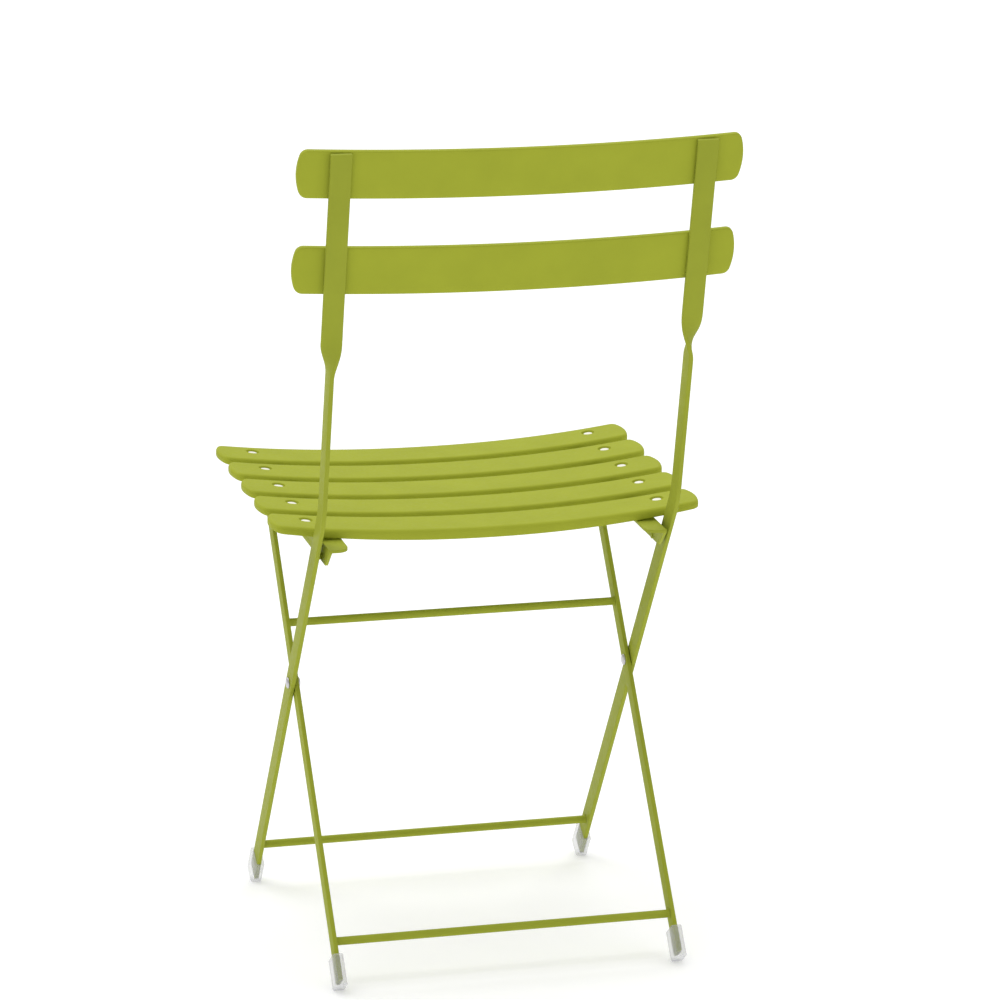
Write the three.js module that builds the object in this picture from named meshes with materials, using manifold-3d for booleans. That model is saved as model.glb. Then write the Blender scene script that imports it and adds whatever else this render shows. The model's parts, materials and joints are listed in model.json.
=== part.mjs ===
// Folding garden chair of flat steel bar, with a slatted seat and back.
// Two long bars rise from the front feet, cross a pair of shorter legs at a riveted
// pivot, lean back behind the seat and turn flat to carry the two back slats. The seat
// is five pressed slats on two angle rails: hinged on the tops of the legs in front,
// and hooked over a pin on each long bar behind.
// Millimetres. The chair faces -Y, +X is the sitter's left, +Z is up, and the origin
// lies on the floor under the middle of the chair.

import * as THREE from 'three';
import { mergeVertices } from 'three/addons/utils/BufferGeometryUtils.js';
import Module from 'manifold-3d';

const wasm = await Module();
wasm.setup();

// Clearances
const GAP = 0.3;                    // between pieces that touch

// The cross of bars, seen from the side
const PIVOT_Y = -26.5;              // where the bars cross, from the chair's middle
const PIVOT_HEIGHT = 256.3;
const UPRIGHT_LEAN = THREE.MathUtils.degToRad(36.2);
const LEG_LEAN = THREE.MathUtils.degToRad(36.4);
const BACK_LEAN = THREE.MathUtils.degToRad(14.6);
const BEND_HEIGHT = 455.6;          // where the long bars straighten up behind the seat
const BEND_RADIUS = 80;
const UPRIGHT_TOP_HEIGHT = 812;
const TWIST_LOW = 597;              // the long bars turn a quarter turn between these
const TWIST_HIGH = 643;

// Flat bars
const BAR_THICKNESS = 4.2;
const UPRIGHT_WIDTH = 20;
const LEG_WIDTH = 16;
const BAR_EDGE = 0.7;               // the softened corner of a rolled bar
const UPRIGHT_X = 172.8;
const LEG_X = 168.1;

// Round rods between the bars
const ROD_DIAMETER = 8;
const FRONT_ROD_HEIGHT = 45.2;
const REAR_ROD_HEIGHT = 42;
const SPREADER_ROD_HEIGHT = 307;

// Clear boots on the feet
const BOOT_LENGTH = 31;
const BOOT_WIDTH = 24.4;            // one size of boot serves both widths of bar
const BOOT_THICKNESS = 10.6;
const BOOT_END = 6;                 // solid plastic under the end of the bar
const BOOT_WORN = 2.8;              // how much of the low corner the flat sole takes off

// Rivets
const RIVET_DIAMETER = 6;
const RIVET_HEAD_DIAMETER = 11;
const RIVET_HEAD_HEIGHT = 2.4;
const RIVET_HOLE_DIAMETER = RIVET_DIAMETER + 2 * GAP;

// Seat
const SEAT_SLOPE = THREE.MathUtils.degToRad(3.42);   // the seat falls towards the back
const HINGE_HEIGHT = 426;                            // the front hinge, on the legs
const SLAT_LENGTH = 422.6;
const SLAT_COUNT = 5;
const SLAT_PITCH = 60.6;
const LAST_SLAT_REACH = 211.1;                       // from the hinge to the rear slat
const SLAT_WIDTH = 48.2;
const SLAT_DEPTH = 10.6;                             // of the turned-down edge, mid-way
const SLAT_END_DEPTH = 7.4;                          // and at the ends
const SLAT_SHEET = 1.5;
const SLAT_EDGE_RADIUS = 4;
const SLAT_SAG = 13.9;                               // the ends stand above the middle
const SLAT_BOW_POWER = 2.15;                         // 2 is a parabola
const SLAT_END_BULGE = 5.2;
const SLAT_CORNER_RADIUS = 8;
const SLAT_TOP = 15.4;                               // middle of a slat over the hinge

// Plastic plugs in round dimples near the ends of the seat slats
const PLUG_X = 173.8;
const PLUG_FORWARD = 6.5;           // ahead of the middle of the slat
const DIMPLE_DEPTH = 2.2;
const DIMPLE_RIM_RADIUS = 7;
const DIMPLE_FLOOR_RADIUS = 5.5;
const PLUG_HOLE_RADIUS = 3.3;
const PLUG_HEAD_RADIUS = 4.4;
const PLUG_HEAD_HEIGHT = 1;
const PLUG_COLLAR_DEPTH = 1.5;

// Angle rails under the seat
const RAIL_OUTER_X = 165.5;
const RAIL_SHEET = 3;
const RAIL_LEG = 20;                // width of the flange, and depth of the web
const RAIL_TOP = 11.7;              // over the hinge
const RAIL_BOTTOM = RAIL_TOP - RAIL_LEG;
const RAIL_FRONT = -56;
const RAIL_REAR = 267.5;
const RAIL_TIP = 250;               // the low rear corner of the slanted end
const RAIL_CORNER_RADIUS = 11;

// Pins on the long bars that the rails hook over
const PIN_HEIGHT = 407.5;
const PIN_FORWARD = 7.3;            // ahead of the middle of the bar
const PIN_DIAMETER = 7;
const PIN_END_X = 161.5;
const HOOK_SLANT = THREE.MathUtils.degToRad(21.6);   // of the hook's mouth, off square
const HOOK_DIAMETER = PIN_DIAMETER + 3 * GAP;

// Back slats
const BACK_SLAT_WIDTH = 46.8;
const BACK_SLAT_THICKNESS = 6;
const BACK_SLAT_EDGE_RADIUS = 1.5;
const BACK_SLAT_BOW = 15.8;         // a plain parabola
const BACK_SLAT_END_BULGE = 4.8;
const BACK_SLAT_CORNER_RADIUS = 8;
const UPPER_SLAT_HEIGHT = 790.4;
const LOWER_SLAT_HEIGHT = 698.2;

// Fineness
const ROUND_SIDES = 20;
const SMALL_SIDES = 14;             // rivets and plugs

const paint = () => new THREE.MeshStandardMaterial({ color: 0x9ba53a, roughness: 0.45, metalness: 0.0 });
const zinc = () => new THREE.MeshStandardMaterial({ color: 0xc4c4be, roughness: 0.35, metalness: 0.9 });
const clearPlastic = () => new THREE.MeshStandardMaterial({ color: 0xd5d6d4, roughness: 0.3, metalness: 0.0 });
const whitePlastic = () => new THREE.MeshStandardMaterial({ color: 0xf0f0ea, roughness: 0.5, metalness: 0.0 });

// How far back the bars have got at a height
const uprightY = (height) => PIVOT_Y + (height - PIVOT_HEIGHT) * Math.tan(UPRIGHT_LEAN);
const legY = (height) => PIVOT_Y - (height - PIVOT_HEIGHT) * Math.tan(LEG_LEAN);
const backY = (height) => uprightY(BEND_HEIGHT) + (height - BEND_HEIGHT) * Math.tan(BACK_LEAN);

const chair = new THREE.Group();
const seat = new THREE.Group();
seat.position.set(0, legY(HINGE_HEIGHT), HINGE_HEIGHT);
seat.rotation.x = -SEAT_SLOPE;
chair.add(seat);

function addMesh(parent, name, geometry, material) {
  const mesh = new THREE.Mesh(geometry, material);
  mesh.name = name;
  parent.add(mesh);
  return mesh;
}

function bothSides(make) {
  make('left', 1);
  make('right', -1);
}

// ---- solids -------------------------------------------------------------------

function toSolid(geometry) {
  const bare = geometry.clone();
  bare.deleteAttribute('normal');
  bare.deleteAttribute('uv');
  const merged = mergeVertices(bare, 1e-4);
  return new wasm.Manifold(new wasm.Mesh({
    numProp: 3,
    vertProperties: new Float32Array(merged.attributes.position.array),
    triVerts: new Uint32Array(merged.index.array),
  }));
}

function toGeometry(solid) {
  const mesh = solid.getMesh();
  const geometry = new THREE.BufferGeometry();
  geometry.setAttribute('position', new THREE.BufferAttribute(mesh.vertProperties, 3));
  geometry.setIndex(new THREE.BufferAttribute(mesh.triVerts, 1));
  geometry.computeVertexNormals();
  return geometry;
}

function cutFrom(geometry, ...cutters) {
  let solid = toSolid(geometry);
  for (const cutter of cutters) {
    solid = solid.subtract(toSolid(cutter));
  }
  return toGeometry(solid);
}

function joined(first, second) {
  return toGeometry(toSolid(first).add(toSolid(second)));
}

// A rod, or a cutter for a round hole, along X from x0 to x1
function rodAlongX(diameter, x0, x1, y, z) {
  const rod = new THREE.CylinderGeometry(diameter / 2, diameter / 2, x1 - x0, ROUND_SIDES);
  rod.rotateZ(Math.PI / 2);
  rod.translate((x0 + x1) / 2, y, z);
  return rod;
}

// A turned piece: profile holds [radius, distance along +X]
function turnedAlongX(profile) {
  const points = profile.map(([radius, along]) => new THREE.Vector2(radius, along));
  const turned = new THREE.LatheGeometry(points, SMALL_SIDES);
  turned.rotateZ(-Math.PI / 2);
  return turned;
}

// A closed solid through rings of the same number of points. Each ring runs
// anticlockwise as seen from beyond the last ring, and its first and middle points
// are its two ends, so that a cap can be zipped up between its two halves.
function ringSolid(rings) {
  const count = rings[0].length;
  const positions = rings.flat().flatMap((point) => [point.x, point.y, point.z]);
  const index = [];
  for (let ring = 0; ring < rings.length - 1; ring++) {
    for (let i = 0; i < count; i++) {
      const a = ring * count + i;
      const b = ring * count + (i + 1) % count;
      index.push(a, b, b + count, a, b + count, a + count);
    }
  }
  const last = (rings.length - 1) * count;
  for (const [a, b, c] of zippedCap(count)) {
    index.push(last + a, last + b, last + c);
    index.push(a, c, b);
  }
  const geometry = new THREE.BufferGeometry();
  geometry.setAttribute('position', new THREE.Float32BufferAttribute(positions, 3));
  geometry.setIndex(index);
  geometry.computeVertexNormals();
  return geometry;
}

function zippedCap(count) {
  const half = count / 2;
  const triangles = [[0, 1, count - 1], [half - 1, half, half + 1]];
  for (let i = 1; i < half - 1; i++) {
    triangles.push([i, i + 1, count - i - 1], [i, count - i - 1, count - i]);
  }
  return triangles;
}

// ---- slats --------------------------------------------------------------------

// The outline of a slat, inset all round: a shallow arc at each end, rounded corners
// and straight long sides, anticlockwise from the middle of the +X end.
function slatOutline(width, bulge, cornerRadius, inset) {
  const END_STEPS = 3;
  const CORNER_STEPS = 4;
  const SIDE_STEPS = 12;
  const endRadius = (width * width / 4 + bulge * bulge) / (2 * bulge);
  const endCentre = SLAT_LENGTH / 2 - endRadius;
  const cornerY = width / 2 - cornerRadius;
  const cornerX = endCentre + Math.sqrt((endRadius - cornerRadius) ** 2 - cornerY ** 2);
  const meeting = Math.atan2(cornerY, cornerX - endCentre);
  const quarter = [];
  for (let i = 0; i < END_STEPS; i++) {
    const angle = meeting * i / END_STEPS;
    const radius = endRadius - inset;
    quarter.push([endCentre + radius * Math.cos(angle), radius * Math.sin(angle)]);
  }
  for (let i = 0; i <= CORNER_STEPS; i++) {
    const angle = meeting + (Math.PI / 2 - meeting) * i / CORNER_STEPS;
    const radius = cornerRadius - inset;
    quarter.push([cornerX + radius * Math.cos(angle), cornerY + radius * Math.sin(angle)]);
  }
  const side = [];
  for (let i = 1; i < SIDE_STEPS; i++) {
    side.push([cornerX * (1 - 2 * i / SIDE_STEPS), width / 2 - inset]);
  }
  const mirrorX = ([x, y]) => [-x, y];
  const upper = [...quarter, ...side, ...quarter.map(mirrorX).reverse()];
  const lower = upper.slice(1, -1).map(([x, y]) => [x, -y]).reverse();
  return [...upper, ...lower];
}

// Height of a bowed slat over its own middle
function slatRise(sag, power, x) {
  return sag * Math.abs(2 * x / SLAT_LENGTH) ** power;
}

// A slat lying in the XY plane whose ends curve up by sag. steps holds the
// [inset, height, height at the ends] of each ring of the outline, from the underside
// to the top.
function bowedSlat(width, bulge, cornerRadius, sag, power, steps) {
  const rings = steps.map(([inset, height, endHeight]) => (
    slatOutline(width, bulge, cornerRadius, inset).map(([x, y]) => {
      const nearEnd = (2 * x / SLAT_LENGTH) ** 2;
      const local = height + (endHeight - height) * nearEnd;
      return new THREE.Vector3(x, y, local + slatRise(sag, power, x));
    })
  ));
  return ringSolid(rings);
}

// The place of a plug, on the top of the slat and square to it
function plugMatrix(sign) {
  const slope = SLAT_BOW_POWER * slatRise(SLAT_SAG, SLAT_BOW_POWER, PLUG_X) / PLUG_X;
  const turn = new THREE.Matrix4().makeRotationY(-sign * Math.atan(slope));
  const height = slatRise(SLAT_SAG, SLAT_BOW_POWER, PLUG_X);
  return turn.setPosition(sign * PLUG_X, -PLUG_FORWARD, height);
}

// A cone or cylinder along Z between two heights
function coneAlongZ(topRadius, bottomRadius, top, bottom) {
  const cone = new THREE.CylinderGeometry(topRadius, bottomRadius, top - bottom, SMALL_SIDES);
  cone.rotateX(Math.PI / 2);
  cone.translate(0, 0, (top + bottom) / 2);
  return cone;
}

// A pressed sheet tray, open below, with a dimple and a hole near each end for a plug
function seatSlatGeometry() {
  const radius = SLAT_EDGE_RADIUS;
  const innerRadius = radius - SLAT_SHEET;
  const innerMiddle = -radius + innerRadius * Math.SQRT1_2;
  const steps = [
    [radius, -SLAT_SHEET, -SLAT_SHEET],
    [SLAT_SHEET + innerRadius * (1 - Math.SQRT1_2), innerMiddle, innerMiddle],
    [SLAT_SHEET, -radius, -radius],
    [SLAT_SHEET, -SLAT_DEPTH, -SLAT_END_DEPTH],
    [0, -SLAT_DEPTH, -SLAT_END_DEPTH],
  ];
  for (const angle of [0, Math.PI / 6, Math.PI / 3, Math.PI / 2]) {
    const height = radius * (Math.sin(angle) - 1);
    steps.push([radius * (1 - Math.cos(angle)), height, height]);
  }
  let slat = bowedSlat(
    SLAT_WIDTH, SLAT_END_BULGE, SLAT_CORNER_RADIUS, SLAT_SAG, SLAT_BOW_POWER, steps,
  );
  for (const sign of [-1, 1]) {
    slat = withDimple(slat, plugMatrix(sign));
  }
  return slat;
}

// Sinks a dimple into the sheet: a cup is joined on below it, and hollowed from above
function withDimple(sheet, place) {
  const wallSlope = (DIMPLE_RIM_RADIUS - DIMPLE_FLOOR_RADIUS) / DIMPLE_DEPTH;
  const cup = coneAlongZ(
    DIMPLE_RIM_RADIUS + SLAT_SHEET, DIMPLE_FLOOR_RADIUS + SLAT_SHEET,
    -SLAT_SHEET / 2, -DIMPLE_DEPTH - SLAT_SHEET,
  );
  const clear = SLAT_SHEET / 2;
  const hollow = coneAlongZ(
    DIMPLE_RIM_RADIUS + wallSlope * clear, DIMPLE_FLOOR_RADIUS, clear, -DIMPLE_DEPTH,
  );
  const hole = coneAlongZ(PLUG_HOLE_RADIUS, PLUG_HOLE_RADIUS, clear, -SLAT_DEPTH);
  for (const piece of [cup, hollow, hole]) {
    piece.applyMatrix4(place);
  }
  return cutFrom(joined(sheet, cup), hollow, hole);
}

// A plug whose domed head lies in the dimple, with a collar under the sheet
function plugGeometry() {
  const stem = PLUG_HOLE_RADIUS - GAP;
  const headBottom = -DIMPLE_DEPTH + GAP;
  const headTop = headBottom + PLUG_HEAD_HEIGHT;
  const collarTop = -DIMPLE_DEPTH - SLAT_SHEET - GAP;
  const collarBottom = collarTop - PLUG_COLLAR_DEPTH;
  const profile = [
    [0, collarBottom],
    [PLUG_HEAD_RADIUS, collarBottom],
    [PLUG_HEAD_RADIUS, collarTop],
    [stem, collarTop],
    [stem, headBottom],
    [PLUG_HEAD_RADIUS, headBottom],
    [PLUG_HEAD_RADIUS, headBottom + PLUG_HEAD_HEIGHT * 0.3],
    [PLUG_HEAD_RADIUS * 0.7, headBottom + PLUG_HEAD_HEIGHT * 0.8],
    [0, headTop],
  ].map(([radius, height]) => new THREE.Vector2(radius, height));
  const plug = new THREE.LatheGeometry(profile, SMALL_SIDES);
  plug.rotateX(Math.PI / 2);
  return plug;
}

function addSeatSlats() {
  for (let i = 0; i < SLAT_COUNT; i++) {
    const number = i + 1;                       // 1 is the front slat
    const reach = LAST_SLAT_REACH - (SLAT_COUNT - number) * SLAT_PITCH;
    const place = new THREE.Group();
    place.position.set(0, reach, SLAT_TOP);
    seat.add(place);
    addMesh(place, `seat_slat_${number}`, seatSlatGeometry(), paint());
    bothSides((side, sign) => {
      const plug = addMesh(place, `slat_plug_${number}_${side}`, plugGeometry(), whitePlastic());
      plug.position.setFromMatrixPosition(plugMatrix(sign));
      plug.rotation.setFromRotationMatrix(plugMatrix(sign));
    });
  }
}

// A closed plate with softened edges
function backSlatGeometry() {
  const radius = BACK_SLAT_EDGE_RADIUS;
  const softening = radius * (1 - Math.SQRT1_2);
  const top = BACK_SLAT_THICKNESS;
  const steps = [
    [radius, 0],
    [softening, softening],
    [0, radius],
    [0, top - radius],
    [softening, top - softening],
    [radius, top],
  ].map(([inset, height]) => [inset, height, height]);
  return bowedSlat(
    BACK_SLAT_WIDTH, BACK_SLAT_END_BULGE, BACK_SLAT_CORNER_RADIUS, BACK_SLAT_BOW, 2, steps,
  );
}

// Each back slat meets the front face of each long bar along the bar's inner edge
function addBackSlats() {
  const meetingX = UPRIGHT_X - UPRIGHT_WIDTH / 2;
  const rise = slatRise(BACK_SLAT_BOW, 2, meetingX);
  const offset = BAR_THICKNESS / 2 + GAP - rise;
  const heights = { back_slat_lower: LOWER_SLAT_HEIGHT, back_slat_upper: UPPER_SLAT_HEIGHT };
  for (const [name, height] of Object.entries(heights)) {
    const slat = addMesh(chair, name, backSlatGeometry(), paint());
    slat.rotation.x = Math.PI / 2 - BACK_LEAN;
    slat.position.set(
      0,
      backY(height) - offset * Math.cos(BACK_LEAN),
      height + offset * Math.sin(BACK_LEAN),
    );
  }
}

// ---- long bars ----------------------------------------------------------------

// The cross-section of a flat bar: half sizes along the two given directions
function barRing(centre, wide, flat) {
  const a = UPRIGHT_WIDTH / 2;
  const b = BAR_THICKNESS / 2;
  const corners = [
    [a, b - BAR_EDGE], [a - BAR_EDGE, b], [BAR_EDGE - a, b], [-a, b - BAR_EDGE],
    [-a, BAR_EDGE - b], [BAR_EDGE - a, -b], [a - BAR_EDGE, -b], [a, BAR_EDGE - b],
  ];
  return corners.map(([w, f]) => (
    centre.clone().addScaledVector(wide, w).addScaledVector(flat, f)
  ));
}

// Stations along the centre of a long bar, as [y, z, lean, turn], from the foot up
function uprightStations(footHeight) {
  const BEND_STEPS = 6;
  const TWIST_STEPS = 12;
  const stations = [[uprightY(footHeight), footHeight, UPRIGHT_LEAN, 0]];
  const tangentLength = BEND_RADIUS * Math.tan((UPRIGHT_LEAN - BACK_LEAN) / 2);
  const startY = uprightY(BEND_HEIGHT) - tangentLength * Math.sin(UPRIGHT_LEAN);
  const startZ = BEND_HEIGHT - tangentLength * Math.cos(UPRIGHT_LEAN);
  const centreY = startY - BEND_RADIUS * Math.cos(UPRIGHT_LEAN);
  const centreZ = startZ + BEND_RADIUS * Math.sin(UPRIGHT_LEAN);
  for (let i = 0; i <= BEND_STEPS; i++) {
    const lean = UPRIGHT_LEAN + (BACK_LEAN - UPRIGHT_LEAN) * i / BEND_STEPS;
    stations.push([
      centreY + BEND_RADIUS * Math.cos(lean),
      centreZ - BEND_RADIUS * Math.sin(lean),
      lean,
      0,
    ]);
  }
  for (let i = 0; i <= TWIST_STEPS; i++) {
    const share = i / TWIST_STEPS;
    const height = TWIST_LOW + (TWIST_HIGH - TWIST_LOW) * share;
    const turn = Math.PI / 2 * THREE.MathUtils.smoothstep(share, 0, 1);
    stations.push([backY(height), height, BACK_LEAN, turn]);
  }
  stations.push([backY(UPRIGHT_TOP_HEIGHT), UPRIGHT_TOP_HEIGHT, BACK_LEAN, Math.PI / 2]);
  return stations;
}

// Below the twist the bar stands on edge, its faces to left and right. Going up, its
// outer face turns to the back, so that the back slats find a flat front face.
function uprightGeometry(sign) {
  const footHeight = bootSoleCentre(UPRIGHT_LEAN) + BOOT_END * Math.cos(UPRIGHT_LEAN);
  const rings = uprightStations(footHeight).map(([y, z, lean, turn]) => {
    const along = new THREE.Vector3(0, Math.sin(lean), Math.cos(lean));
    const back = new THREE.Vector3(0, Math.cos(lean), -Math.sin(lean));
    const flat = new THREE.Vector3(sign * Math.cos(turn), 0, 0).addScaledVector(back, Math.sin(turn));
    const wide = flat.clone().cross(along);
    return barRing(new THREE.Vector3(sign * UPRIGHT_X, y, z), wide, flat);
  });
  const inner = sign * UPRIGHT_X - BAR_THICKNESS;
  const hole = rodAlongX(RIVET_HOLE_DIAMETER, inner, inner + 2 * BAR_THICKNESS, PIVOT_Y, PIVOT_HEIGHT);
  return cutFrom(ringSolid(rings), hole);
}

// ---- legs ---------------------------------------------------------------------

// Distance along a leg from the rivet where the bars cross to the hinge under the seat
const LEG_REACH = (HINGE_HEIGHT - PIVOT_HEIGHT) / Math.cos(LEG_LEAN);

// A straight flat bar drawn along its own length from the crossing rivet: square at
// the foot, round about the hinge at the top, with a hole at each rivet
function legGeometry() {
  const half = LEG_WIDTH / 2 - BAR_EDGE;
  const footHeight = bootSoleCentre(LEG_LEAN) + BOOT_END * Math.cos(LEG_LEAN);
  const foot = (PIVOT_HEIGHT - footHeight) / Math.cos(LEG_LEAN) - BAR_EDGE;
  const outline = new THREE.Shape();
  outline.moveTo(-foot, half);
  outline.lineTo(-foot, -half);
  outline.lineTo(LEG_REACH, -half);
  outline.absarc(LEG_REACH, 0, half, -Math.PI / 2, Math.PI / 2, false);
  outline.closePath();
  for (const along of [0, LEG_REACH]) {
    const hole = new THREE.Path();
    hole.absarc(along, 0, RIVET_HOLE_DIAMETER / 2 + BAR_EDGE, 0, 2 * Math.PI, true);
    outline.holes.push(hole);
  }
  const bar = new THREE.ExtrudeGeometry(outline, {
    depth: BAR_THICKNESS - 2 * BAR_EDGE,
    bevelThickness: BAR_EDGE,
    bevelSize: BAR_EDGE,
    bevelSegments: 1,
    curveSegments: 10,
  });
  bar.translate(0, 0, BAR_EDGE - BAR_THICKNESS / 2);
  return bar;
}

function addLegs() {
  bothSides((side, sign) => {
    const geometry = legGeometry();
    geometry.applyMatrix4(sideViewMatrix(Math.PI / 2 + LEG_LEAN));
    const leg = addMesh(chair, `rear_leg_${side}`, geometry, paint());
    leg.position.set(sign * LEG_X, PIVOT_Y, PIVOT_HEIGHT);
  });
}

// Maps drawing X to a direction in the side view, at the given angle from +Y towards
// +Z, and drawing Z to +X across the chair
function sideViewMatrix(angle) {
  const along = new THREE.Vector3(0, Math.cos(angle), Math.sin(angle));
  const across = new THREE.Vector3(0, -Math.sin(angle), Math.cos(angle));
  return new THREE.Matrix4().makeBasis(along, across, new THREE.Vector3(1, 0, 0));
}

// ---- boots --------------------------------------------------------------------

// Height of the middle of a boot's end face over the floor, once its low corner is flat
function bootSoleCentre(lean) {
  return BOOT_WIDTH / 2 * Math.sin(lean) - BOOT_WORN;
}

// A box sleeve on the end of a bar, drawn along X from its end face, open at the top
function bootGeometry(barWidth) {
  const CORNER = 1.5;
  const sleeve = new THREE.BoxGeometry(BOOT_LENGTH, BOOT_WIDTH, BOOT_THICKNESS);
  sleeve.translate(BOOT_LENGTH / 2, 0, 0);
  const pocketStart = BOOT_END - GAP;
  const pocket = new THREE.BoxGeometry(
    BOOT_LENGTH, barWidth + 2 * GAP, BAR_THICKNESS + 2 * GAP,
  );
  pocket.translate(pocketStart + BOOT_LENGTH / 2, 0, 0);
  return cutFrom(sleeve, pocket, ...edgeCutters(CORNER));
}

// Prisms that take the four long edges off a sleeve
function edgeCutters(corner) {
  const cutters = [];
  const wide = BOOT_WIDTH / 2;
  const flat = BOOT_THICKNESS / 2;
  for (const [y, z] of [[wide, flat], [wide, -flat], [-wide, flat], [-wide, -flat]]) {
    const cutter = new THREE.BoxGeometry(3 * BOOT_LENGTH, corner * Math.SQRT2, corner * Math.SQRT2);
    cutter.rotateX(Math.PI / 4);
    cutter.translate(0, y, z);
    cutters.push(cutter);
  }
  return cutters;
}

// Set a boot on the foot of a bar, and take its low corner off at the floor
function addBoot(name, barWidth, lean, angle, x, soleY) {
  const soleZ = bootSoleCentre(lean);
  const boot = bootGeometry(barWidth);
  boot.applyMatrix4(sideViewMatrix(angle));
  boot.translate(x, soleY(soleZ), soleZ);
  const FLOOR_BLOCK = 100;
  const floor = new THREE.BoxGeometry(FLOOR_BLOCK, FLOOR_BLOCK, FLOOR_BLOCK);
  floor.translate(x, soleY(0), -FLOOR_BLOCK / 2);
  addMesh(chair, name, cutFrom(boot, floor), clearPlastic());
}

function addBoots() {
  bothSides((side, sign) => {
    addBoot(
      `front_boot_${side}`, UPRIGHT_WIDTH, UPRIGHT_LEAN,
      Math.PI / 2 - UPRIGHT_LEAN, sign * UPRIGHT_X, uprightY,
    );
    addBoot(
      `rear_boot_${side}`, LEG_WIDTH, LEG_LEAN,
      Math.PI / 2 + LEG_LEAN, sign * LEG_X, legY,
    );
  });
}

// ---- rods ---------------------------------------------------------------------

function addRod(name, barX, y, z) {
  const reach = barX - BAR_THICKNESS / 2 - GAP;
  addMesh(chair, name, rodAlongX(ROD_DIAMETER, -reach, reach, y, z), paint());
}

// ---- rivets -------------------------------------------------------------------

// A rivet along +X with a low domed head at each end: the grip lies between the heads
function rivetGeometry(gripStart, gripEnd) {
  const stem = RIVET_DIAMETER / 2;
  const head = RIVET_HEAD_DIAMETER / 2;
  const dome = [
    [head, 0],
    [head, RIVET_HEAD_HEIGHT * 0.35],
    [head * 0.65, RIVET_HEAD_HEIGHT * 0.8],
    [0, RIVET_HEAD_HEIGHT],
  ];
  const near = dome.map(([radius, height]) => [radius, gripStart - height]).reverse();
  const far = dome.map(([radius, height]) => [radius, gripEnd + height]);
  return turnedAlongX([...near, [stem, gripStart], [stem, gripEnd], ...far]);
}

function addRivets() {
  const outerFace = UPRIGHT_X + BAR_THICKNESS / 2 + GAP;
  const legInner = LEG_X - BAR_THICKNESS / 2 - GAP;
  const legOuter = LEG_X + BAR_THICKNESS / 2 + GAP;
  const railInner = RAIL_OUTER_X - RAIL_SHEET - GAP;
  bothSides((side, sign) => {
    const turn = sign > 0 ? 0 : Math.PI;
    const crossing = addMesh(
      chair, `cross_rivet_${side}`, rivetGeometry(legInner, outerFace), zinc(),
    );
    crossing.position.set(0, PIVOT_Y, PIVOT_HEIGHT);
    crossing.rotation.z = turn;
    const hinge = addMesh(
      seat, `seat_hinge_rivet_${side}`, rivetGeometry(railInner, legOuter), zinc(),
    );
    hinge.rotation.z = turn;
  });
}

// ---- seat rails ---------------------------------------------------------------

const PIN_Y = uprightY(PIN_HEIGHT) - PIN_FORWARD;

// The pin's place in the seat's own frame: how far behind the hinge, and how far over it
function pinFromHinge() {
  const y = PIN_Y - legY(HINGE_HEIGHT);
  const z = PIN_HEIGHT - HINGE_HEIGHT;
  return {
    along: y * Math.cos(SEAT_SLOPE) - z * Math.sin(SEAT_SLOPE),
    up: y * Math.sin(SEAT_SLOPE) + z * Math.cos(SEAT_SLOPE),
  };
}

// The upright web of a rail in the side view, with its slanted rear end, the hook that
// drops over the pin, and the hole for the hinge rivet
function railWebShape() {
  const pin = pinFromHinge();
  const radius = HOOK_DIAMETER / 2;
  const drop = pin.up - RAIL_BOTTOM;
  const mouth = pin.along - drop * Math.tan(HOOK_SLANT);
  const halfMouth = radius / Math.cos(HOOK_SLANT);
  const web = new THREE.Shape();
  web.moveTo(RAIL_FRONT, RAIL_BOTTOM);
  web.lineTo(mouth - halfMouth, RAIL_BOTTOM);
  web.absarc(pin.along, pin.up, radius, Math.PI - HOOK_SLANT, -HOOK_SLANT, true);
  web.lineTo(mouth + halfMouth, RAIL_BOTTOM);
  web.lineTo(RAIL_TIP, RAIL_BOTTOM);
  web.lineTo(RAIL_REAR, RAIL_TOP - RAIL_SHEET);
  web.lineTo(RAIL_REAR, RAIL_TOP);
  web.lineTo(RAIL_FRONT, RAIL_TOP);
  web.closePath();
  const hole = new THREE.Path();
  hole.absarc(0, 0, RIVET_HOLE_DIAMETER / 2, 0, 2 * Math.PI, true);
  web.holes.push(hole);
  return web;
}

// The flat top of a rail from above, X inwards from the web's outer face
function railFlangeShape() {
  const radius = RAIL_CORNER_RADIUS;
  const flange = new THREE.Shape();
  flange.moveTo(0, RAIL_FRONT);
  flange.lineTo(RAIL_LEG, RAIL_FRONT);
  flange.absarc(RAIL_LEG - radius, RAIL_REAR - radius, radius, 0, Math.PI / 2, false);
  flange.lineTo(0, RAIL_REAR);
  flange.closePath();
  return flange;
}

// Built for the left side, where the flange points to -X, and mirrored for the right
function railGeometry(sign) {
  const web = new THREE.ExtrudeGeometry(railWebShape(), {
    depth: RAIL_SHEET, bevelEnabled: false, curveSegments: 10,
  });
  web.applyMatrix4(sideViewMatrix(0));
  const webInner = sign > 0 ? RAIL_OUTER_X - RAIL_SHEET : -RAIL_OUTER_X;
  web.translate(webInner, 0, 0);
  const flange = new THREE.ExtrudeGeometry(railFlangeShape(), {
    depth: RAIL_SHEET, bevelEnabled: false, curveSegments: 6,
  });
  if (sign > 0) {
    flange.rotateY(Math.PI);
    flange.translate(RAIL_OUTER_X, 0, RAIL_TOP);
  } else {
    flange.translate(-RAIL_OUTER_X, 0, RAIL_TOP - RAIL_SHEET);
  }
  return joined(web, flange);
}

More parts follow.
